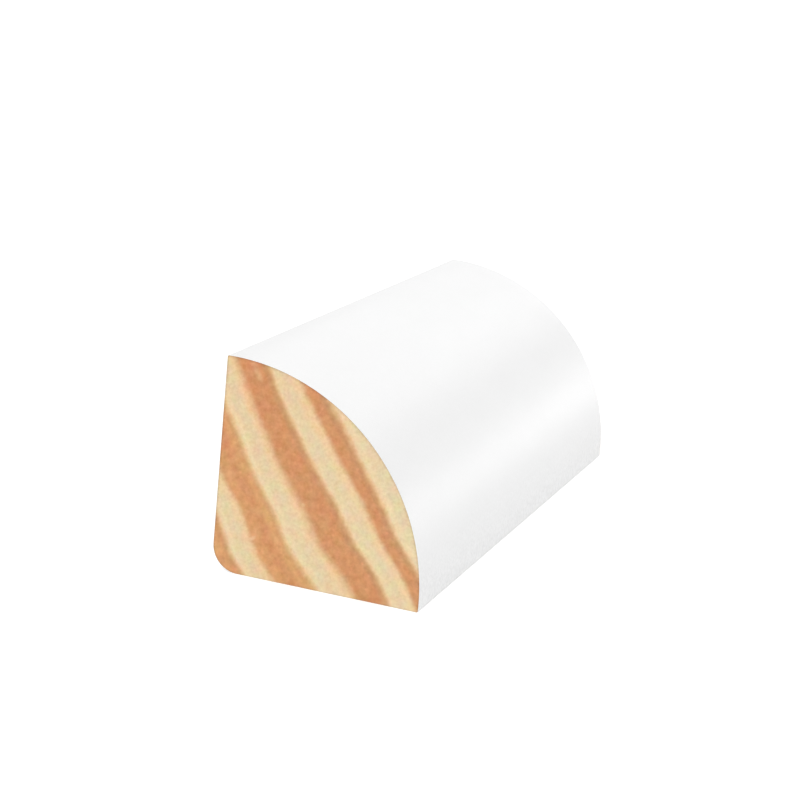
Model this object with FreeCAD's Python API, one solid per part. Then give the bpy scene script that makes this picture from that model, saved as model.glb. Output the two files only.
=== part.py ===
"""Quarter round moulding: one short length of square-cut stock.

The section is a quarter of a circle between two equal legs, one lying on the
floor and one standing against the wall. The back corner between the legs, the
heel, is eased to clear the joint of floor and wall, and each leg ends in a
narrow flat, the toe, square to it. The stock is milled from one piece, so the
part is one solid.

Units are millimetres. +X runs from the wall leg to the floor toe, +Y along the
stock from the near cut end to the far one, and +Z up the wall. The origin is
in the plane of the floor leg, half way between wall and toe and half way along.
"""

import os

import FreeCAD
import Part

# Driving dimensions, in millimetres.
LEG = 19.05  # nominal size: width of the floor leg and height of the wall leg
TOE_FLAT = 0.5  # flat at the end of each leg, where the curve stops
HEEL_RADIUS = 2.38  # easing of the back corner
TOE_EASE = 0.15  # softened arris at the tip of each toe
LENGTH = 59.1  # from cut end to cut end

# Where the section lies.
FLOOR_Z = 0.0
WALL_X = -LEG / 2
TOE_X = WALL_X + LEG
TOP_Z = FLOOR_Z + LEG
NEAR_END_Y = -LENGTH / 2


def section_point(x, z):
    """A point of the section, in the plane of the near cut end."""
    return FreeCAD.Vector(x, NEAR_END_Y, z)


def straight(start, end):
    """A straight side of the section."""
    return Part.LineSegment(section_point(*start), section_point(*end)).toShape()


def quarter_arc(centre, radius, start, end):
    """A quarter circle of the section from start to end; each is a direction (x, z)."""
    slant = radius / 2**0.5
    directions = (start, (start[0] + end[0], start[1] + end[1]), end)
    reaches = (radius, slant, radius)
    points = [
        section_point(centre[0] + reach * x, centre[1] + reach * z)
        for (x, z), reach in zip(directions, reaches)
    ]
    return Part.Arc(*points).toShape()


def moulding_section():
    """The closed outline of the section, from the heel along the floor leg and round."""
    right, up, left, down = (1, 0), (0, 1), (-1, 0), (0, -1)

    heel_centre = (WALL_X + HEEL_RADIUS, FLOOR_Z + HEEL_RADIUS)
    floor_tip_centre = (TOE_X - TOE_EASE, FLOOR_Z + TOE_EASE)
    wall_tip_centre = (WALL_X + TOE_EASE, TOP_Z - TOE_EASE)
    curve_centre = (WALL_X + TOE_FLAT, FLOOR_Z + TOE_FLAT)
    curve_radius = LEG - TOE_FLAT

    floor_leg = straight((heel_centre[0], FLOOR_Z), (floor_tip_centre[0], FLOOR_Z))
    floor_tip = quarter_arc(floor_tip_centre, TOE_EASE, down, right)
    floor_toe = straight((TOE_X, floor_tip_centre[1]), (TOE_X, curve_centre[1]))
    face_curve = quarter_arc(curve_centre, curve_radius, right, up)
    wall_toe = straight((curve_centre[0], TOP_Z), (wall_tip_centre[0], TOP_Z))
    wall_tip = quarter_arc(wall_tip_centre, TOE_EASE, up, left)
    wall_leg = straight((WALL_X, wall_tip_centre[1]), (WALL_X, heel_centre[1]))
    heel = quarter_arc(heel_centre, HEEL_RADIUS, left, down)

    sides = [floor_leg, floor_tip, floor_toe, face_curve, wall_toe, wall_tip, wall_leg, heel]
    return Part.Wire(sides)


def quarter_round():
    """The section run along the stock and cut square at both ends."""
    end_face = Part.Face(moulding_section())
    return end_face.extrude(FreeCAD.Vector(0, LENGTH, 0))


def main():
    os.makedirs("parts", exist_ok=True)
    moulding = quarter_round()
    moulding.exportStep("parts/quarter_round.step")
    print(f"quarter_round: {moulding.Volume:.1f} mm3, valid {moulding.isValid()}")


main()
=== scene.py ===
"""Quarter round moulding: the dressed piece, and the pale stage that it is seen on.

The moulding is one length of pine, primed white along its faces and bare where the
saw cut it. Its mesh is the section's outline, run along the stock with a softened
arris at each cut, and closed at both ends by a finely divided face that carries the
relief of the growth rings.

Places and lengths in the making of the mesh and in the materials are millimetres,
measured from the wall leg (x), the near cut end (y) and the floor leg (z). The sizes
that a user can change, and those of the stage, are metres.
"""

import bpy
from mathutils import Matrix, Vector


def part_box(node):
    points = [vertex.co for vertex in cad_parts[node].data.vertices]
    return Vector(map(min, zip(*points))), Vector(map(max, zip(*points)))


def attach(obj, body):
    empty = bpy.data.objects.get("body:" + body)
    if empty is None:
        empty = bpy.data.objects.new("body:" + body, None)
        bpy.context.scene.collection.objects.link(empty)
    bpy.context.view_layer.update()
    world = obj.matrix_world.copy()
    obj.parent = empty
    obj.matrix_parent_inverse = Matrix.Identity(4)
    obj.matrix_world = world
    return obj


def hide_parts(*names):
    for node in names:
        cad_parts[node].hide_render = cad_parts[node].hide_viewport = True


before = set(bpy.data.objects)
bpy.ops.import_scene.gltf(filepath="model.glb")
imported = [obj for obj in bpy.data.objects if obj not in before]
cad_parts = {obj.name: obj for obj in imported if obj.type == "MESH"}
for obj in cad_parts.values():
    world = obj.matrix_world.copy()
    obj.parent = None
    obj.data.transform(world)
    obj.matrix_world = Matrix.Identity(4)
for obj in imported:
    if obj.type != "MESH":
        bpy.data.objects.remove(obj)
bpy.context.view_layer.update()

import math
from collections import namedtuple

import bpy
import numpy as np
from bpy.props import FloatProperty, FloatVectorProperty, IntProperty, PointerProperty
from mathutils import Matrix, Vector, geometry, noise

bl_info = {
    "name": "Quarter round moulding",
    "version": (1, 0, 0),
    "blender": (4, 5, 0),
    "location": "3D View > Sidebar > Moulding",
    "description": "Makes a primed length of quarter round moulding and a pale stage for it",
    "category": "Add Mesh",
}

NODE = "quarter_round"
PIECE = "primed_quarter_round"
# Name of the point attribute that marks the bare wood's rim, where painted shade darkens it beside
# the primer.
RIM_SHADE = "rim_shade"

MM = 0.001
LOW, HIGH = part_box(NODE)
LEG = HIGH.z - LOW.z
LENGTH = HIGH.y - LOW.y


# Sizes, colours and light that a user can change


def srgb(red, green, blue):
    """A colour named by its 0 to 255 values, in the linear values that shaders work in."""
    def linear(value):
        share = value / 255
        return share / 12.92 if share <= 0.04045 else ((share + 0.055) / 1.055) ** 2.4

    return linear(red), linear(green), linear(blue)


def colour_property(name, description, colour):
    """A colour that a user can change."""
    return FloatVectorProperty(
        name=name, description=description, default=colour, subtype="COLOR", min=0, max=1
    )


def length_property(name, description, millimetres):
    """A size that a user can change, kept in metres."""
    return FloatProperty(
        name=name, description=description, default=millimetres * MM, min=0,
        precision=5, unit="LENGTH", subtype="DISTANCE",
    )


def power_property(name, description, watts):
    """The power of a lamp that a user can change."""
    return FloatProperty(name=name, description=description, default=watts, min=0, unit="POWER")


class MouldingSizes(bpy.types.PropertyGroup):
    """Sizes of the moulding and of its relief, and the seed of its unevenness."""

    leg: length_property("Leg", "Width of the floor leg and height of the wall leg", LEG / MM)
    length: length_property("Length", "From cut end to cut end", LENGTH / MM)
    toe_flat: length_property("Toe flat", "Flat at the end of each leg", 0.5)
    heel_radius: length_property("Heel radius", "Easing of the back corner", 2.38)
    toe_ease: length_property("Toe ease", "Softened arris at the tip of each toe", 0.15)
    coat: length_property("Primer coat", "Thickness of the primer, as a cut end shows it", 0.02)
    cut_arris: length_property("Cut arris", "Softening where a cut end meets the faces", 0.008)
    ring_height: length_property("Ring height", "How far dark wood stands over pale wood", 0.02)
    saw_depth: length_property("Saw marks", "How far the saw's arcs rise and fall", 0.002)
    seed: IntProperty(name="Seed", description="Chance pattern of the fine relief", default=4)


class PineColours(bpy.types.PropertyGroup):
    """Colours of the bare end grain."""

    early: colour_property("Early wood", "Pale spring wood", srgb(232, 210, 169))
    late: colour_property("Late wood", "Dark autumn wood", srgb(212, 149, 102))
    washed: colour_property("Washed late wood", "Late wood with less resin", srgb(225, 172, 117))
    line: colour_property("Ring line", "Brown line where growth stopped", srgb(203, 149, 104))
    edge: colour_property("Ring edge", "Olive cast past the brown line", srgb(205, 180, 128))
    rim: colour_property("Ring rim", "First bright wood of the next spring", srgb(239, 215, 173))
    blush: colour_property("Blush", "Peach wood on both sides of a dark band", srgb(241, 208, 162))
    resin: colour_property("Resin", "Resin canals in the late wood", srgb(232, 166, 120))


class PrimerLooks(bpy.types.PropertyGroup):
    """Finish of the primed faces."""

    colour: colour_property("Primer", "Colour of the primer", srgb(243, 243, 243))
    thin_colour: colour_property(
        "Thin primer", "Primer that lets the wood through, on the mounting faces", srgb(238, 234, 227)
    )
    roughness: FloatProperty(
        name="Roughness", description="Roughness of the dry primer", default=0.36, min=0.05,
        max=1, subtype="FACTOR",
    )


class StageLooks(bpy.types.PropertyGroup):
    """Light on the moulding."""

    room_light: FloatProperty(
        name="Room light", description="Even light from all round", default=0.75, min=0
    )
    front_watts: power_property("Front light", "Soft light on the near end", 2.62)
    side_watts: power_property("Side light", "Soft light high over the curved face", 0.41)
    back_watts: power_property("Back light", "Soft light behind, seen in the sheen of the top", 0.28)
    low_back_watts: power_property(
        "Low back light", "Small light behind, seen where the sheen of the top begins", 0.08
    )
    strip_watts: power_property(
        "Strip light", "Low strip behind, seen in the sheen of the curved face", 0.6
    )


# Outline of the section


FEWEST_ARC_STEPS = 5


def straight_run(start, end, outward, spacing):
    """Points from start up to, but not at, end, each with the outward direction."""
    start, end = np.array(start), np.array(end)
    count = max(1, round(float(np.linalg.norm(end - start)) / spacing))
    along = np.arange(count)[:, None] / count
    return start + along * (end - start), np.tile(outward, (count, 1))


def arc_run(centre, radius, first, last, spacing):
    """Points along an arc from angle first up to, but not at, last, in degrees."""
    turn = math.radians(last - first)
    count = max(FEWEST_ARC_STEPS, round(radius * abs(turn) / spacing))
    angles = math.radians(first) + np.arange(count) / count * turn
    outward = np.stack([np.cos(angles), np.sin(angles)], axis=1)
    return np.array(centre) + radius * outward, outward


def section_outline(sizes, spacing):
    """The closed outline of the section, anticlockwise from the heel, and its outward directions."""
    leg, flat = sizes.leg / MM, sizes.toe_flat / MM
    heel, ease = sizes.heel_radius / MM, sizes.toe_ease / MM
    points, outward = zip(
        straight_run((heel, 0), (leg - ease, 0), (0.0, -1.0), spacing),
        arc_run((leg - ease, ease), ease, -90, 0, spacing),
        straight_run((leg, ease), (leg, flat), (1.0, 0.0), spacing),
        arc_run((flat, flat), leg - flat, 0, 90, spacing),
        straight_run((flat, leg), (ease, leg), (0.0, 1.0), spacing),
        arc_run((ease, leg - ease), ease, 90, 180, spacing),
        straight_run((0, leg - ease), (0, heel), (-1.0, 0.0), spacing),
        arc_run((heel, heel), heel, 180, 270, spacing),
    )
    return np.concatenate(points), np.concatenate(outward)


def inside_section(points, sizes, margin):
    """True for each point that lies in the section, at least margin from its outline."""
    leg, flat, heel = sizes.leg / MM, sizes.toe_flat / MM, sizes.heel_radius / MM
    x, z = points[:, 0], points[:, 1]
    within = (x > margin) & (z > margin) & (x < leg - margin) & (z < leg - margin)
    past_curve = np.hypot(x - flat, z - flat) > leg - flat - margin
    past_heel = np.hypot(x - heel, z - heel) > heel - margin
    within &= ~((x > flat) & (z > flat) & past_curve)
    within &= ~((x < heel) & (z < heel) & past_heel)
    return within


# Growth rings, which the relief of the mesh and the masks of the materials have in common


# The rings are laid out from a point near the middle of the section. On the near end they
# run down to the right, and are counted outwards from the heel, along a line that leans up
# from the floor.
RING_MIDDLE = (7.62, 7.62)
RING_LEAN = math.radians(31.5)
RING_TILT = 0.038  # how far a ring drifts outwards for each millimetre that it runs down
RING_BEND = 0.0028  # how far besides, for each millimetre squared
GRAIN_SLOPE = 0.006  # how far the rings shift across for each millimetre along the stock
# Each sway of the rings: its height, its turn along and across the rings in radians
# for each millimetre, and where it starts.
RING_SWAYS = (
    (0.11, 0.89, -0.27, 0.49),
    (0.22, 0.17, 0.37, -0.99),
    (0.10, 0.76, -0.14, 2.56),
)
# Dark bands of late wood: where each starts and ends, how wide its soft start and its
# sharper end are, and how strong the brown line at that end and the bright rim past it are.
DARK_BANDS = (
    (-12.0, -8.12, 0.9, 0.7, 0.6, 1.0),
    (-5.68, -2.65, 0.8, 0.75, 0.4, 1.0),
    (-0.05, 2.7, 1.1, 0.6, 1.0, 0.4),
    (4.9, 6.44, 0.7, 0.7, 1.0, 1.0),
)


def ring_place(x, y, z):
    """How far across the rings each point lies, counted as DARK_BANDS counts."""
    from_x, from_z = x - RING_MIDDLE[0], z - RING_MIDDLE[1]
    along = from_x * math.sin(RING_LEAN) - from_z * math.cos(RING_LEAN)
    across = from_x * math.cos(RING_LEAN) + from_z * math.sin(RING_LEAN)
    place = across - RING_TILT * along - RING_BEND * along**2 - GRAIN_SLOPE * y
    for height, turn_along, turn_across, start in RING_SWAYS:
        place = place - height * np.sin(turn_along * along + turn_across * across + start)
    return place


def late_wood_stops():
    """Stops of the share of dark wood: (place across the rings, share)."""
    stops = []
    for start, end, rise, fall, _, _ in DARK_BANDS:
        stops += [(start - rise / 2, 0.0), (start + rise / 2, 1.0)]
        stops += [(end - fall / 2, 1.0), (end + fall / 2, 0.0)]
    return stops


def late_wood(place):
    """The share of dark wood at each place across the rings."""
    places, shares = zip(*late_wood_stops())
    return np.interp(place, places, shares)


# Relief of the cut ends


# Each chance pattern has its own seed, counted on from the one that a user sets.
ROUGH_SEED = 1
COAT_SEED = 2
ARRIS_SEED = 3
FACE_SEED = 5
FAR_END_SEED = 20
SEED_STEPS = (17.3, 5.1, 9.7)  # how far each seed moves a pattern

# A round blade left arcs on the ends: its radius, where its hub stood, how far apart the
# arcs are, and how wide the patches of their drift are and how strong it is.
SAW_RADIUS = 127.0
SAW_HUB = (-34.0, 131.0)
SAW_PITCH = 0.95
SAW_DRIFT_PATCH = 6.0
SAW_DRIFT = 0.8
# Torn fibres make the ends a little rough: how wide a patch is, and how far it rises and falls.
ROUGH_PATCH = 0.45
ROUGH_DEPTH = 0.0015


def chance(points, size, seed):
    """Smooth chance values from -1 to 1 at 3D points, with features about size across."""
    shift = Vector([seed * step for step in SEED_STEPS])
    return np.array([noise.noise(Vector(point) / size + shift) for point in points])


def end_relief(x, y, z, sizes, seed):
    """How deep the cut wood lies behind the plane of the cut end."""
    points = np.stack([x, z, np.full(len(x), float(seed))], axis=1)
    sunk = sizes.ring_height / MM * (1 - late_wood(ring_place(x, y, z)))
    reach = np.hypot(x - SAW_HUB[0], z - SAW_HUB[1]) - SAW_RADIUS
    drift = SAW_DRIFT * chance(points, SAW_DRIFT_PATCH, seed)
    marks = sizes.saw_depth / MM * (1 + np.sin(2 * math.pi * reach / SAW_PITCH + drift))
    rough = ROUGH_DEPTH * (1 + chance(points, ROUGH_PATCH, seed + ROUGH_SEED))
    return sunk + marks + rough


# The mesh


OUTLINE_STEP = 0.16  # between points round the outline
END_STEP = 0.17  # between points inside a cut end
END_MARGIN = 0.14  # those points keep this far from the outline
STATION_STEP = 1.0  # between loops along the faces
FIRST_STATION = 0.12  # from a cut end to the first loop on the faces
WOOD_STEP = 0.008  # the wood starts this far behind the primer's edge and as far inside it
ARRIS_TURNS = (30, 60, 90)  # where the rounded arris has its loops, in degrees
SHARP_ANGLE = math.radians(50)  # the shading breaks where faces meet at more than this

# Chance unevenness: the width of its patches, and how far it goes each way as a share.
COAT_PATCH = 1.3
COAT_SPREAD = 0.35
ARRIS_PATCH = 0.9
ARRIS_SPREAD = 0.5
# Hollows of the milled faces: the width of a patch, how many times longer it is along the
# stock, and the greatest depth.
HOLLOW_PATCH = 4.0
HOLLOW_STRETCH = 3
HOLLOW_DEPTH = 0.004

INNER_TRIANGLES = 1  # asks the triangulation for the triangles inside the border
SAME_POINT = 1e-5  # points nearer than this are taken for one

# A cut end: where it lies along the stock, 1 or -1 for the way into the wood, and its seed.
CutEnd = namedtuple("CutEnd", "y inward seed")


def end_triangles(border, sizes):
    """Points that fill the border, border first, and the triangles that join them."""
    leg = sizes.leg / MM
    row_gap = END_STEP * math.sqrt(3) / 2
    rows = []
    for number, z in enumerate(np.arange(row_gap, leg, row_gap)):
        x = np.arange(END_STEP / 2 * (number % 2), leg, END_STEP)
        rows.append(np.stack([x, np.full(len(x), z)], axis=1))
    grid = np.concatenate(rows)
    grid = grid[inside_section(grid, sizes, END_MARGIN)]
    points = np.concatenate([border, grid])
    count = len(border)
    edges = [(number, (number + 1) % count) for number in range(count)]
    _, _, faces, origins, _, _ = geometry.delaunay_2d_cdt(
        [Vector(point) for point in points], edges, [], INNER_TRIANGLES, SAME_POINT
    )
    first = [found[0] for found in origins]
    return points, [tuple(first[corner] for corner in face) for face in faces]


def loop_of_points(outline, outward, inset, y):
    """One loop round the section at y, drawn in from the outline by inset."""
    flat = outline - outward * np.reshape(inset, (-1, 1))
    return np.stack([flat[:, 0], np.broadcast_to(y, len(flat)), flat[:, 1]], axis=1)


def arris_loops(outline, outward, sizes, end):
    """Loops from the wood's edge on a cut end, over the primer's edge and the arris, to the faces."""
    places = np.stack([outline[:, 0], outline[:, 1], np.full(len(outline), end.y)], axis=1)
    coat = 1 + COAT_SPREAD * chance(places, COAT_PATCH, end.seed + COAT_SEED)
    arris = 1 + ARRIS_SPREAD * chance(places, ARRIS_PATCH, end.seed + ARRIS_SEED)
    coat = sizes.coat / MM * coat
    arris = sizes.cut_arris / MM * arris
    loops = [
        loop_of_points(outline, outward, coat + WOOD_STEP, end.y + end.inward * WOOD_STEP),
        loop_of_points(outline, outward, coat, end.y),
        loop_of_points(outline, outward, arris, end.y),
    ]
    for turned in ARRIS_TURNS:
        drawn_in = arris * (1 - math.sin(math.radians(turned)))
        sunk = 1 - math.cos(math.radians(turned))
        loops.append(loop_of_points(outline, outward, drawn_in, end.y + end.inward * arris * sunk))
    loops.append(loop_of_points(outline, outward, 0.0, end.y + end.inward * FIRST_STATION))
    return loops


def face_loops(outline, outward, sizes):
    """Loops along the faces between the two ends, with the slight unevenness of a milled face."""
    length = sizes.length / MM
    count = round(length / STATION_STEP)
    loops = []
    for y in np.linspace(0, length, count + 1)[1:-1]:
        drawn_out = np.full(len(outline), y / HOLLOW_STRETCH)
        places = np.stack([outline[:, 0], drawn_out, outline[:, 1]], axis=1)
        hollow = HOLLOW_DEPTH * (1 + chance(places, HOLLOW_PATCH, sizes.seed + FACE_SEED)) / 2
        loops.append(loop_of_points(outline, outward, hollow, y))
    return loops


def faces_between(loop_count, loop_length):
    """The faces that join each loop to the next, by the numbers of their points."""
    faces = []
    for row in range(loop_count - 1):
        for number in range(loop_length):
            here = row * loop_length + number
            beside = row * loop_length + (number + 1) % loop_length
            faces.append((here, here + loop_length, beside + loop_length, beside))
    return faces


def end_face(border, sizes, end, border_start, inner_start):
    """The points inside the border of a cut end, and the triangles that close the end.

    The two starts are the numbers that the border and the inner points begin at in the mesh.
    """
    points, triangles = end_triangles(border[:, [0, 2]], sizes)
    count = len(border)
    x, z = points[count:, 0], points[count:, 1]
    depth = end_relief(x, np.full(len(x), end.y), z, sizes, end.seed)
    faces = []
    for triangle in triangles:
        corners = [
            border_start + corner if corner < count else inner_start + corner - count
            for corner in triangle
        ]
        faces.append(tuple(corners if end.inward == 1 else corners[::-1]))
    return np.stack([x, end.y + end.inward * depth, z], axis=1), faces


def mark_painted_rim_shade(mesh, rim_count):
    """Marks the points of the loops for painted shade, which darkens the bare wood towards the primer
    where the arris shades it.
    """
    shade = mesh.attributes.new(RIM_SHADE, "FLOAT", "POINT")
    painted_shade_at_rim = np.zeros(len(mesh.vertices), dtype=np.float32)
    painted_shade_at_rim[:rim_count] = 1.0
    shade.data.foreach_set("value", painted_shade_at_rim)


def moulding_mesh(sizes):
    """The closed mesh of the moulding. Faces of the bare ends take the second material."""
    outline, outward = section_outline(sizes, OUTLINE_STEP)
    near = CutEnd(0.0, 1, sizes.seed)
    far = CutEnd(sizes.length / MM, -1, sizes.seed + FAR_END_SEED)
    near_loops = arris_loops(outline, outward, sizes, near)
    far_loops = arris_loops(outline, outward, sizes, far)
    loops = near_loops + face_loops(outline, outward, sizes) + far_loops[::-1]

    primed = faces_between(len(loops), len(outline))
    rim_count = len(loops) * len(outline)
    last_loop = rim_count - len(outline)
    near_inner, near_bare = end_face(loops[0], sizes, near, 0, rim_count)
    far_start = rim_count + len(near_inner)
    far_inner, far_bare = end_face(loops[-1], sizes, far, last_loop, far_start)
    bare = near_bare + far_bare

    place = np.concatenate([*loops, near_inner, far_inner]) * MM
    place += np.array([-sizes.leg / 2, -sizes.length / 2, 0.0])
    mesh = bpy.data.meshes.new(PIECE)
    mesh.from_pydata(place.tolist(), [], primed + bare)
    mesh.polygons.foreach_set("material_index", [0] * len(primed) + [1] * len(bare))
    mesh.shade_smooth()
    mesh.set_sharp_from_angle(angle=SHARP_ANGLE)
    mesh.validate()
    mark_painted_rim_shade(mesh, rim_count)
    return mesh


# Shader nodes


RAMP_REACH = 12.0  # the ramps run this far each way from the middle of the rings


def set_inputs(tree, node, inputs):
    """Sets a node's inputs, or joins them to the sockets given."""
    for name, value in inputs.items():
        if isinstance(value, bpy.types.NodeSocket):
            tree.links.new(value, node.inputs[name])
        else:
            node.inputs[name].default_value = value


def add_node(tree, kind, inputs=None, **settings):
    """One node, with its settings made and its inputs set or joined."""
    node = tree.nodes.new(kind)
    for name, value in settings.items():
        setattr(node, name, value)
    set_inputs(tree, node, inputs or {})
    return node


def use_group(tree, group, inputs=None):
    """The outputs of a group that is placed in a material, with its own values."""
    return add_node(tree, "ShaderNodeGroup", inputs, node_tree=group).outputs


def math_step(tree, operation, first, second=0.0, third=0.0):
    """The result of one sum."""
    inputs = {0: first, 1: second, 2: third}
    return add_node(tree, "ShaderNodeMath", inputs, operation=operation).outputs[0]


def vector_step(tree, operation, *inputs):
    """The result of one sum on places or colours."""
    node = add_node(tree, "ShaderNodeVectorMath", dict(enumerate(inputs)), operation=operation)
    return node.outputs["Vector"]


def dot(tree, place, direction):
    """How far a place lies along a direction."""
    inputs = {0: place, 1: direction}
    node = add_node(tree, "ShaderNodeVectorMath", inputs, operation="DOT_PRODUCT")
    return node.outputs["Value"]


def flat_place(tree, first, second):
    """A place made of two values, with nothing for the third."""
    node = add_node(tree, "ShaderNodeCombineXYZ", {"X": first, "Y": second})
    return node.outputs["Vector"]


def fading(tree, value, whole, gone):
    """A mask that is 1 up to the value whole, and fades to 0 at the value gone."""
    inputs = {"Value": value, "From Min": whole, "From Max": gone, "To Min": 1.0, "To Max": 0.0}
    node = add_node(tree, "ShaderNodeMapRange", inputs, interpolation_type="SMOOTHSTEP")
    return node.outputs["Result"]


def mask_ramp(tree, place, stops):
    """A mask from 0 to 1 by place across the rings; stops are (place, value)."""
    share = math_step(tree, "MULTIPLY_ADD", place, 1 / (2 * RAMP_REACH), 0.5)
    node = add_node(tree, "ShaderNodeValToRGB", {"Fac": share})
    node.color_ramp.interpolation = "EASE"
    points = [point for point in stops if abs(point[0]) < RAMP_REACH]
    elements = node.color_ramp.elements
    while len(elements) < len(points):
        elements.new(0.5)
    for element, (at, value) in zip(elements, points):
        element.position = at / (2 * RAMP_REACH) + 0.5
        element.color = (value, value, value, 1)
    return node.outputs["Color"]


def mix_colours(tree, share, first, second, blend="MIX"):
    """Two colours mixed by a share."""
    inputs = {0: share, 6: first, 7: second}
    node = add_node(tree, "ShaderNodeMix", inputs, data_type="RGBA", blend_type=blend)
    return node.outputs[2]


def opaque(colour):
    """A colour with the fourth value that the nodes ask for."""
    return (*colour, 1)


def bumped(tree, height, distance):
    """The normal of a surface that stands up by height times distance."""
    inputs = {"Height": height, "Strength": 1.0, "Distance": distance * MM}
    return add_node(tree, "ShaderNodeBump", inputs).outputs["Normal"]


def shaded(name):
    """A new material with a Principled shader joined to its output."""
    material = bpy.data.materials.new(name)
    material.use_nodes = True
    tree = material.node_tree
    tree.nodes.clear()
    shader = add_node(tree, "ShaderNodeBsdfPrincipled")
    add_node(tree, "ShaderNodeOutputMaterial", {"Surface": shader.outputs["BSDF"]})
    return material, tree, shader


def new_group(name, inputs, outputs):
    """An empty node group with its sockets, and its two ends. inputs are (name, kind, default)."""
    tree = bpy.data.node_groups.new(name, "ShaderNodeTree")
    for socket_name, kind, default in inputs:
        socket = tree.interface.new_socket(name=socket_name, in_out="INPUT", socket_type=kind)
        if default is not None:
            socket.default_value = default
    for socket_name, kind in outputs:
        tree.interface.new_socket(name=socket_name, in_out="OUTPUT", socket_type=kind)
    return tree, tree.nodes.new("NodeGroupInput"), tree.nodes.new("NodeGroupOutput")


# Node groups that both finishes use


# Masks beside a dark band: how far past its start or its end each stop lies, and the value.
BLUSH_PAST_START = ((-1.1, 0.0), (-0.25, 1.0), (0.5, 0.0))
BLUSH_PAST_END = ((-0.35, 0.0), (0.1, 1.0), (0.5, 0.0))
LINE_PAST_END = ((-0.75, 0.0), (-0.35, 1.0), (0.05, 0.0))
EDGE_PAST_END = ((-0.45, 0.0), (-0.05, 0.25), (0.22, 0.0))
RIM_PAST_END = ((0.15, 0.0), (0.5, 1.0), (1.05, 0.0))
# How washed out the late wood is, by place across the rings.
WASHED_LATE = (
    (-9.2, 0.6), (-8.5, 0.6), (-5.5, 0.45), (-4.8, 0.4), (-4.2, 0.15), (-3.9, 0.2),
    (-3.0, 0.9), (-2.4, 0.9), (-1.0, 0.0),
)
NOISE_SPREAD = 4.0  # noise keeps near its middle, and this spreads it from -1 to 1


def stock_place_group(sizes):
    """Group: the place in the stock, from the wall leg, the near end and the floor leg."""
    tree, _, ends = new_group("Place in stock", [], [("Place", "NodeSocketVector")])
    place = add_node(tree, "ShaderNodeTexCoord").outputs["Object"]
    corner = (-sizes.leg / 2, -sizes.length / 2, 0.0)
    from_corner = vector_step(tree, "SUBTRACT", place, corner)
    in_millimetres = vector_step(tree, "MULTIPLY", from_corner, (1 / MM, 1 / MM, 1 / MM))
    set_inputs(tree, ends, {"Place": in_millimetres})
    return tree


def stops_past(place, stops, strength=1.0):
    """Stops laid out from a place across the rings, with their values times a strength."""
    return [(place + past, value * strength) for past, value in stops]


def ring_masks():
    """Stops of each mask that goes by the place across the rings."""
    line, edge, rim, blush = [], [], [], []
    for start, end, _, _, line_strength, rim_strength in DARK_BANDS:
        line += stops_past(end, LINE_PAST_END, line_strength)
        edge += stops_past(end, EDGE_PAST_END)
        rim += stops_past(end, RIM_PAST_END, rim_strength)
        blush += stops_past(start, BLUSH_PAST_START)
        blush += stops_past(end, BLUSH_PAST_END)
    return {
        "Late Wood": late_wood_stops(),
        "Washed": WASHED_LATE,
        "Line": line,
        "Edge": edge,
        "Rim": rim,
        "Blush": blush,
    }


def growth_ring_group():
    """Group: masks of the dark bands and of what lies beside them, and the way along and across.

    The place is worked out as in ring_place, and the waver moves the rings' edges besides.
    """
    masks = ring_masks()
    tree, start, ends = new_group(
        "Growth rings",
        [("Place", "NodeSocketVector", None), ("Waver", "NodeSocketFloat", 0.0)],
        [(name, "NodeSocketFloat") for name in (*masks, "Along", "Across")],
    )
    middle = (RING_MIDDLE[0], 0.0, RING_MIDDLE[1])
    centred = vector_step(tree, "SUBTRACT", start.outputs["Place"], middle)
    along = dot(tree, centred, (math.sin(RING_LEAN), 0.0, -math.cos(RING_LEAN)))
    across = dot(tree, centred, (math.cos(RING_LEAN), 0.0, math.sin(RING_LEAN)))
    drift = dot(tree, centred, (0.0, GRAIN_SLOPE, 0.0))
    drift = math_step(tree, "ADD", drift, start.outputs["Waver"])
    tilt = math_step(tree, "MULTIPLY_ADD", along, RING_BEND, RING_TILT)
    bend = math_step(tree, "MULTIPLY_ADD", along, tilt, drift)
    place = math_step(tree, "SUBTRACT", across, bend)
    for height, turn_along, turn_across, begin in RING_SWAYS:
        phase = math_step(tree, "MULTIPLY_ADD", along, turn_along, begin)
        phase = math_step(tree, "MULTIPLY_ADD", across, turn_across, phase)
        sway = math_step(tree, "SINE", phase)
        place = math_step(tree, "MULTIPLY_ADD", sway, -height, place)

    set_inputs(tree, ends, {name: mask_ramp(tree, place, stops) for name, stops in masks.items()})
    set_inputs(tree, ends, {"Along": along, "Across": across})
    return tree


def mottle_group():
    """Group: chance patches, as a value from about -1 to 1 times the strength."""
    tree, start, ends = new_group(
        "Mottle",
        [
            ("Place", "NodeSocketVector", None),
            ("Patch", "NodeSocketFloat", 1.0),
            ("Detail", "NodeSocketFloat", 2.0),
            ("Strength", "NodeSocketFloat", 1.0),
        ],
        [("Value", "NodeSocketFloat")],
    )
    scale = math_step(tree, "DIVIDE", 1.0, start.outputs["Patch"])
    cloud = add_node(
        tree, "ShaderNodeTexNoise",
        {"Vector": start.outputs["Place"], "Scale": scale, "Detail": start.outputs["Detail"]},
    ).outputs["Fac"]
    centred = math_step(tree, "MULTIPLY_ADD", cloud, NOISE_SPREAD, -NOISE_SPREAD / 2)
    value = math_step(tree, "MULTIPLY", centred, start.outputs["Strength"])
    set_inputs(tree, ends, {"Value": value})
    return tree


def mottle(tree, groups, place, patch, detail, strength):
    """The value of the mottle group, placed with these settings."""
    inputs = {"Place": place, "Patch": patch, "Detail": detail, "Strength": strength}
    return use_group(tree, groups["mottle"], inputs)["Value"]


# Bare end grain


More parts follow.
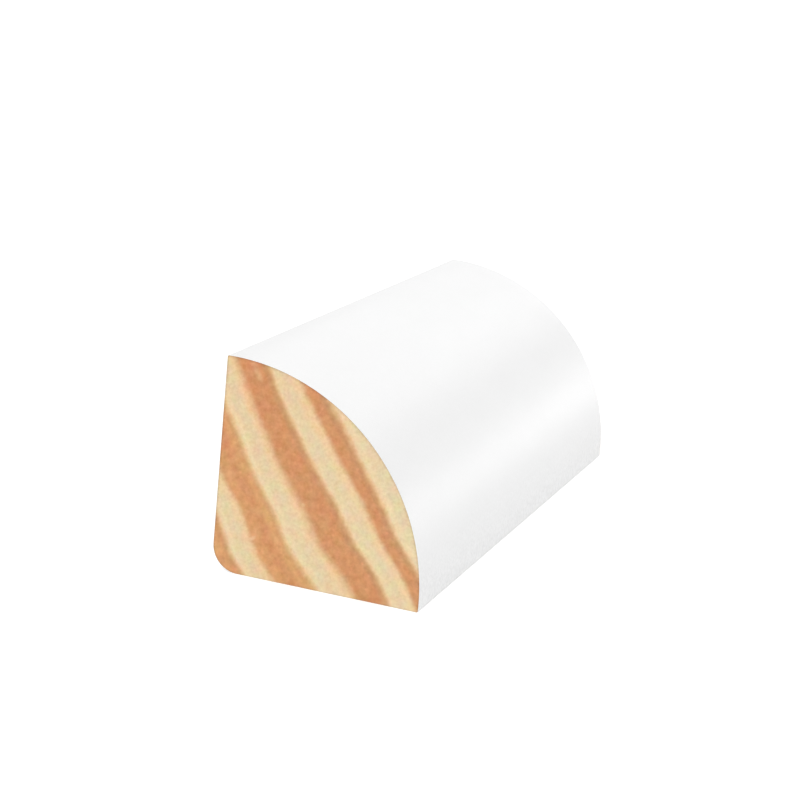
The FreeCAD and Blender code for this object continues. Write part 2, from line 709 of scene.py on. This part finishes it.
# Chance patches: how wide they are, how many finer layers they hold and how strong they
# are. The strength is left off where it goes by the place.
EDGE_WAVER = (1.1, 2.0, 0.07)
HUE_PATCHES = (1.3, 2.0, 0.055)
GOLD_PATCHES = (1.1, 2.0, 0.07)
BLOTCHES = (0.7, 3.0)
BLOTCH_STRENGTH = 0.05
BLOTCH_LATE_WOOD = 0.1  # how much stronger the blotches are in the late wood
WOOD_CELLS = (0.28, 3.0, 0.085)
RAYS = (1.0, 2.0, 0.02)
RAY_SQUEEZE = (5.0, 0.4)  # along and across the rings; less than 1 draws the rays out
WOOD_FIBRES = (0.09, 2.0, 1.0)
ELSEWHERE = (40.0, 0.0, 70.0)  # the gold patches are drawn from here, to differ from the rest

# How the chance patches shift the red, green and blue.
TONE_SHIFT = (0.8, 1.1, 1.55)
HUE_SHIFT = (1.0, -0.9, -0.1)
GOLD_SHIFT = (-0.2, -0.45, 1.0)
# The wood grows a little paler along the rings: by how much for each millimetre.
PALER_SHIFT = (0.1, 0.72, 1.0)
PALER_ALONG = 0.0056

# Small pale marks: the place along and across the rings, the reach each way and the strength.
FLECKS = (
    (1.4, -5.6, 0.22, 0.45, 0.5),
    (-11.6, 1.36, 1.3, 0.35, 0.25),
    (0.45, 0.12, 0.22, 0.25, 0.35),
)

# Resin canals: the width of the cells that hold one each, the share of cells left empty, and
# a canal's reach, the width of its soft border and its strength. Reach and border are shares
# of a cell's width.
CANAL_CELL = 1.9
EMPTY_CELLS = 0.6
CANAL_REACH = 0.098
CANAL_BORDER = 0.07
CANAL_STRENGTH = 0.55

PAINTED_RIM_SHADE = (0.8, 0.77, 0.76, 1)  # painted shade: how much darker the wood is painted in the thin rim beside the primer, standing in for the shade of the arris
WOOD_ROUGHNESS = 0.78
LATE_WOOD_SMOOTHER = 0.12
WOOD_SPECULAR = 0.3
FIBRE_HEIGHT = 0.002


def ring_colours(tree, masks, colours):
    """The colour of the wood by its place in the rings."""
    dark = mix_colours(tree, masks["Washed"], opaque(colours.late), opaque(colours.washed))
    pale = mix_colours(tree, masks["Blush"], opaque(colours.early), opaque(colours.blush))
    pale = mix_colours(tree, masks["Rim"], pale, opaque(colours.rim))
    colour = mix_colours(tree, masks["Late Wood"], pale, dark)
    colour = mix_colours(tree, masks["Line"], colour, opaque(colours.line))
    return mix_colours(tree, masks["Edge"], colour, opaque(colours.edge))


def canal_mask(tree, along, across, late):
    """A mask of the resin canals, which lie in the late wood."""
    place = flat_place(tree, along, across)
    inputs = {"Vector": place, "Scale": 1 / CANAL_CELL, "Randomness": 1.0}
    cells = add_node(tree, "ShaderNodeTexVoronoi", inputs, voronoi_dimensions="2D").outputs
    inside = math_step(
        tree, "MULTIPLY_ADD", cells["Distance"], -1 / CANAL_BORDER, CANAL_REACH / CANAL_BORDER
    )
    inside = add_node(tree, "ShaderNodeClamp", {"Value": inside}).outputs["Result"]
    chosen = math_step(tree, "GREATER_THAN", dot(tree, cells["Color"], (1, 0, 0)), EMPTY_CELLS)
    mask = math_step(tree, "MULTIPLY", inside, chosen)
    mask = math_step(tree, "MULTIPLY", mask, late)
    return math_step(tree, "MULTIPLY", mask, CANAL_STRENGTH)


def fleck_mask(tree, along, across):
    """A mask of the small pale marks."""
    mask = 0.0
    for fleck_along, fleck_across, reach_along, reach_across, strength in FLECKS:
        off_along = math_step(tree, "SUBTRACT", along, fleck_along)
        off_along = math_step(tree, "DIVIDE", off_along, reach_along)
        off_across = math_step(tree, "SUBTRACT", across, fleck_across)
        off_across = math_step(tree, "DIVIDE", off_across, reach_across)
        off = math_step(tree, "MULTIPLY", off_along, off_along)
        off = math_step(tree, "MULTIPLY_ADD", off_across, off_across, off)
        near = math_step(tree, "MULTIPLY_ADD", off, -strength, strength)
        mask = math_step(tree, "MAXIMUM", near, mask)
    return mask


def wood_tint(tree, groups, place, rings):
    """What the wood's colour is multiplied by: blotches, cells and rays, and shifts of hue."""
    along, across, late = rings["Along"], rings["Across"], rings["Late Wood"]
    hue = mottle(tree, groups, place, *HUE_PATCHES)
    gold = mottle(tree, groups, vector_step(tree, "ADD", place, ELSEWHERE), *GOLD_PATCHES)
    depth = math_step(tree, "MULTIPLY_ADD", late, BLOTCH_LATE_WOOD, BLOTCH_STRENGTH)
    blotches = mottle(tree, groups, place, *BLOTCHES, depth)
    cells = mottle(tree, groups, place, *WOOD_CELLS)
    ray_along = math_step(tree, "MULTIPLY", along, RAY_SQUEEZE[0])
    ray_across = math_step(tree, "MULTIPLY", across, RAY_SQUEEZE[1])
    rays = mottle(tree, groups, flat_place(tree, ray_along, ray_across), *RAYS)
    tone = math_step(tree, "ADD", blotches, cells)
    tone = math_step(tree, "ADD", tone, rays)
    paler = math_step(tree, "MULTIPLY", along, PALER_ALONG)
    shifts = ((tone, TONE_SHIFT), (hue, HUE_SHIFT), (gold, GOLD_SHIFT), (paler, PALER_SHIFT))
    tint = (1.0, 1.0, 1.0)
    for amount, shift in shifts:
        tint = vector_step(tree, "MULTIPLY_ADD", amount, shift, tint)
    return tint


def end_grain_material(colours, groups):
    """Bare sawn pine: ring bands and the tones beside them, blotches, rays and resin canals, and
    painted shade in the thin rim beside the primer.
    """
    material, tree, shader = shaded("bare pine end grain")
    place = use_group(tree, groups["place"])["Place"]
    waver = mottle(tree, groups, place, *EDGE_WAVER)
    rings = use_group(tree, groups["rings"], {"Place": place, "Waver": waver})
    along, across, late = rings["Along"], rings["Across"], rings["Late Wood"]

    colour = ring_colours(tree, rings, colours)
    canals = canal_mask(tree, along, across, late)
    colour = mix_colours(tree, canals, colour, opaque(colours.resin))
    colour = mix_colours(tree, fleck_mask(tree, along, across), colour, opaque(colours.blush))
    tint = wood_tint(tree, groups, place, rings)
    colour = mix_colours(tree, 1.0, colour, tint, "MULTIPLY")
    # Painted shade: the thin rim of bare wood beside the primer is darkened, standing in for the
    # shade of the arris.
    rim = add_node(tree, "ShaderNodeAttribute", attribute_name=RIM_SHADE).outputs["Fac"]
    colour = mix_colours(tree, rim, colour, PAINTED_RIM_SHADE, "MULTIPLY")

    fibres = mottle(tree, groups, place, *WOOD_FIBRES)
    set_inputs(tree, shader, {
        "Base Color": colour,
        "Roughness": math_step(tree, "MULTIPLY_ADD", late, -LATE_WOOD_SMOOTHER, WOOD_ROUGHNESS),
        "Specular IOR Level": WOOD_SPECULAR,
        "Normal": bumped(tree, fibres, FIBRE_HEIGHT),
    })
    return material


# Primer


# Thin primer on the mounting faces: where it fades, away from the planes of the legs, and
# for the heel, away from the corner where they meet.
LEG_FADE = (0.03, 0.13)
HEEL_FADE = (2.5, 3.0)
TOE_FADE = (0.0, 6.5)  # where the grit of the toe fades, up from the floor

# Chance patches, as for the end grain, and how far two of them are squeezed along each axis;
# less than 1 draws them out.
GRAIN_FIBRES = (1.0, 3.0, 1.0)
GRAIN_SQUEEZE = (4.0, 0.12, 4.0)
CLOUDS = (2.5, 3.0, 0.008)
CLOUD_SQUEEZE = (1.0, 0.4, 1.0)
SKIN = (0.2, 2.0, 1.0)
GRIT = (0.27, 2.0)
GRIT_STRENGTH = 0.01
TOE_GRIT = 0.075  # how much stronger the grit is at the toe

# How much of the wood shows through thin primer: everywhere, in the fibres and in the rings.
THIN_SHOWS = 0.35
FIBRES_SHOW = 0.3
RINGS_SHOW = 0.3

SKIN_ROUGHNESS = 0.03
THIN_ROUGHNESS = 0.12
SKIN_HEIGHT = 0.003
FIBRES_RAISED = 1.2  # fibres stand this many times as high as the rings
THICK_RAISED = 0.12  # how much of both shows in the relief of thick primer
KNIFE_PITCH = 1.6  # the knives that milled the faces left a ripple this long
KNIFE_RIPPLE = 0.15


def mounting_face_mask(tree, place):
    """A mask of the wall leg, the floor leg and the heel between them."""
    parts = add_node(tree, "ShaderNodeSeparateXYZ", {"Vector": place}).outputs
    legs = fading(tree, math_step(tree, "MINIMUM", parts["X"], parts["Z"]), *LEG_FADE)
    heel = fading(tree, math_step(tree, "MAXIMUM", parts["X"], parts["Z"]), *HEEL_FADE)
    return math_step(tree, "MAXIMUM", legs, heel)


def primer_colour(tree, groups, looks, place, grain):
    """The primer's colour, with clouds and grit, and the grain that shows through it."""
    clouds = mottle(tree, groups, vector_step(tree, "MULTIPLY", place, CLOUD_SQUEEZE), *CLOUDS)
    toe = fading(tree, dot(tree, place, (0.0, 0.0, 1.0)), *TOE_FADE)
    grit_strength = math_step(tree, "MULTIPLY_ADD", toe, TOE_GRIT, GRIT_STRENGTH)
    grit = mottle(tree, groups, place, *GRIT, grit_strength)
    tone = math_step(tree, "ADD", clouds, 1.0)
    tone = math_step(tree, "ADD", grit, tone)
    colour = mix_colours(tree, 1.0, opaque(looks.colour), tone, "MULTIPLY")
    return mix_colours(tree, grain, colour, opaque(looks.thin_colour))


def primer_height(tree, place, late, fibres, thin, skin):
    """Height of the primer: its skin, a ripple, and the grain, more of it where it is thin."""
    raised = math_step(tree, "MULTIPLY_ADD", fibres, FIBRES_RAISED, late)
    share = math_step(tree, "ADD", thin, THICK_RAISED)
    turns = dot(tree, place, (0.0, 2 * math.pi / KNIFE_PITCH, 0.0))
    ripple = math_step(tree, "SINE", turns)
    height = math_step(tree, "MULTIPLY_ADD", ripple, KNIFE_RIPPLE, skin)
    return math_step(tree, "MULTIPLY_ADD", raised, share, height)


def primer_material(looks, groups):
    """Dry white primer: a fine sprayed skin, thinner and showing the grain on the mounting faces."""
    material, tree, shader = shaded("white primer")
    place = use_group(tree, groups["place"])["Place"]
    late = use_group(tree, groups["rings"], {"Place": place})["Late Wood"]
    thin = mounting_face_mask(tree, place)
    drawn_out = vector_step(tree, "MULTIPLY", place, GRAIN_SQUEEZE)
    fibres = mottle(tree, groups, drawn_out, *GRAIN_FIBRES)
    skin = mottle(tree, groups, place, *SKIN)

    grain = math_step(tree, "MULTIPLY_ADD", fibres, FIBRES_SHOW, THIN_SHOWS)
    grain = math_step(tree, "MULTIPLY_ADD", late, RINGS_SHOW, grain)
    grain = math_step(tree, "MULTIPLY", grain, thin)
    roughness = math_step(tree, "MULTIPLY_ADD", skin, SKIN_ROUGHNESS, looks.roughness)
    roughness = math_step(tree, "MULTIPLY_ADD", thin, THIN_ROUGHNESS, roughness)
    height = primer_height(tree, place, late, fibres, thin, skin)
    set_inputs(tree, shader, {
        "Base Color": primer_colour(tree, groups, looks, place, grain),
        "Roughness": roughness,
        "Normal": bumped(tree, height, SKIN_HEIGHT),
    })
    return material


# The stage


WHITE = (1, 1, 1, 1)
FLOOR_RADIUS = 1.6
FLOOR_SIDES = 96
FLOOR_COLOUR = (0.8, 0.8, 0.8, 1)
FLOOR_ROUGHNESS = 0.9
FLOOR_TOP_UP = 0.47  # the light that the floor adds where it is seen, to show as white

AIM = Vector((-3.86, -0.19, 10.10)) * MM
CAMERA_DISTANCE = 206.6 * MM
CAMERA_AZIMUTH = math.radians(18.79)
CAMERA_PITCH = math.radians(14.03)
CAMERA_ROLL = math.radians(5.56)
NEAREST_SEEN = 0.01
LENS = 95.74
SENSOR = 36.0

# Soft lamps: azimuth, with 0 in front of the near end, and elevation in degrees, distance,
# width and height, and whether the lamp is seen as a highlight. Their power is in StageLooks.
SOFTBOXES = {
    "front": (-8, 34, 0.85, 1.1, 0.8, False),
    "side": (95, 58, 0.7, 0.4, 0.4, True),
    "back": (183, 24, 0.9, 0.55, 0.2, True),
    "low_back": (172, 20, 0.9, 0.3, 0.1, True),
    "strip": (157, 1, 0.9, 0.9, 0.06, True),
}


def white_backdrop_share(tree):
    """1 for rays that show the backdrop: those of the camera, of gloss and of glass."""
    rays = add_node(tree, "ShaderNodeLightPath").outputs
    seen = math_step(tree, "MAXIMUM", rays["Is Camera Ray"], rays["Is Glossy Ray"])
    return math_step(tree, "MAXIMUM", seen, rays["Is Transmission Ray"])


def floor_material():
    """Pale floor: white where it is seen, apart from the object's shadow."""
    material, tree, shader = shaded("pale floor")
    top_up = math_step(tree, "MULTIPLY", white_backdrop_share(tree), FLOOR_TOP_UP)
    set_inputs(tree, shader, {
        "Base Color": FLOOR_COLOUR,
        "Roughness": FLOOR_ROUGHNESS,
        "Specular IOR Level": 0.0,
        "Emission Color": WHITE,
        "Emission Strength": top_up,
    })
    return material


def add_floor():
    """A wide round floor, level with the underside of the moulding."""
    mesh = bpy.data.meshes.new("pale_floor")
    turns = [2 * math.pi * number / FLOOR_SIDES for number in range(FLOOR_SIDES)]
    rim = [(FLOOR_RADIUS * math.cos(turn), FLOOR_RADIUS * math.sin(turn), LOW.z) for turn in turns]
    mesh.from_pydata(rim, [], [tuple(range(len(rim)))])
    mesh.materials.append(floor_material())
    floor = bpy.data.objects.new("pale_floor", mesh)
    bpy.context.collection.objects.link(floor)


def light_room(scene, strength):
    """Even light from all round, shown as white where the backdrop is seen."""
    world = bpy.data.worlds.new("pale_room")
    world.use_nodes = True
    tree = world.node_tree
    tree.nodes.clear()
    seen = white_backdrop_share(tree)
    level = math_step(tree, "MULTIPLY_ADD", seen, 1.0 - strength, strength)
    light = add_node(tree, "ShaderNodeBackground", {"Color": WHITE, "Strength": level})
    add_node(tree, "ShaderNodeOutputWorld", {"Surface": light.outputs["Background"]})
    scene.world = world


def add_softbox(name, watts, azimuth, elevation, distance, width, height, sheen):
    """A soft rectangular lamp that faces the moulding and that the camera doesn't see.

    Without sheen, the lamp lights the moulding but isn't seen as a highlight on it.
    """
    lamp = bpy.data.lights.new(name, "AREA")
    lamp.shape = "RECTANGLE"
    lamp.size, lamp.size_y = width, height
    lamp.energy = watts
    box = bpy.data.objects.new(name, lamp)
    turn, rise = math.radians(azimuth), math.radians(elevation)
    away = Vector(
        (math.sin(turn) * math.cos(rise), -math.cos(turn) * math.cos(rise), math.sin(rise))
    )
    box.location = AIM + away * distance
    box.rotation_euler = (-away).to_track_quat("-Z", "Y").to_euler()
    box.visible_camera = False
    box.visible_glossy = sheen
    bpy.context.collection.objects.link(box)


def add_camera(scene):
    """The camera, at the photograph's viewing angle."""
    camera = bpy.data.cameras.new("camera")
    camera.lens, camera.sensor_width = LENS, SENSOR
    camera.clip_start = NEAREST_SEEN
    holder = bpy.data.objects.new("camera", camera)
    turned = Matrix.Rotation(CAMERA_AZIMUTH, 4, "Z")
    pitched = Matrix.Rotation(math.pi / 2 - CAMERA_PITCH, 4, "X")
    rolled = Matrix.Rotation(CAMERA_ROLL, 4, "Z")
    aimed = turned @ pitched @ rolled
    back = aimed.to_3x3() @ Vector((0, 0, 1))
    holder.matrix_world = Matrix.Translation(AIM + back * CAMERA_DISTANCE) @ aimed
    bpy.context.collection.objects.link(holder)
    scene.camera = holder


# Operators and panel


class MOULDING_OT_quarter_round(bpy.types.Operator):
    """Makes the moulding, with its primer and bare ends, in place of the plain solid"""

    bl_idname = "moulding.quarter_round"
    bl_label = "Quarter Round"

    def execute(self, context):
        scene = context.scene
        groups = {
            "place": stock_place_group(scene.moulding_sizes),
            "rings": growth_ring_group(),
            "mottle": mottle_group(),
        }
        mesh = moulding_mesh(scene.moulding_sizes)
        mesh.materials.append(primer_material(scene.moulding_primer, groups))
        mesh.materials.append(end_grain_material(scene.moulding_pine, groups))
        piece = bpy.data.objects.new(PIECE, mesh)
        context.collection.objects.link(piece)
        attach(piece, "root")
        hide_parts(NODE)
        return {"FINISHED"}


class MOULDING_OT_stage(bpy.types.Operator):
    """Makes the floor, the light and the camera"""

    bl_idname = "moulding.stage"
    bl_label = "Stage"

    def execute(self, context):
        scene = context.scene
        looks = scene.moulding_stage
        add_floor()
        light_room(scene, looks.room_light)
        for name, placing in SOFTBOXES.items():
            add_softbox(f"{name}_light", getattr(looks, f"{name}_watts"), *placing)
        add_camera(scene)
        scene.view_settings.view_transform = "Standard"
        return {"FINISHED"}


SETTINGS = {
    "moulding_sizes": MouldingSizes,
    "moulding_pine": PineColours,
    "moulding_primer": PrimerLooks,
    "moulding_stage": StageLooks,
}
PANEL_ROWS = (
    (MOULDING_OT_quarter_round, ("moulding_sizes", "moulding_pine", "moulding_primer")),
    (MOULDING_OT_stage, ("moulding_stage",)),
)


class MOULDING_PT_sidebar(bpy.types.Panel):
    """Lists what can be made, with its sizes and colours"""

    bl_idname = "MOULDING_PT_sidebar"
    bl_label = "Quarter Round Moulding"
    bl_space_type = "VIEW_3D"
    bl_region_type = "UI"
    bl_category = "Moulding"

    def draw(self, context):
        for operator, groups in PANEL_ROWS:
            box = self.layout.box()
            box.operator(operator.bl_idname)
            for group in groups:
                settings = getattr(context.scene, group)
                for name in settings.__annotations__:
                    box.prop(settings, name)


CLASSES = (
    *SETTINGS.values(),
    MOULDING_OT_quarter_round,
    MOULDING_OT_stage,
    MOULDING_PT_sidebar,
)


def register():
    for each in CLASSES:
        bpy.utils.register_class(each)
    for name, group in SETTINGS.items():
        setattr(bpy.types.Scene, name, PointerProperty(type=group))


def unregister():
    for name in SETTINGS:
        delattr(bpy.types.Scene, name)
    for each in reversed(CLASSES):
        bpy.utils.unregister_class(each)


def main():
    register()
    bpy.ops.moulding.quarter_round()
    bpy.ops.moulding.stage()


if __name__ == "__main__":
    main()
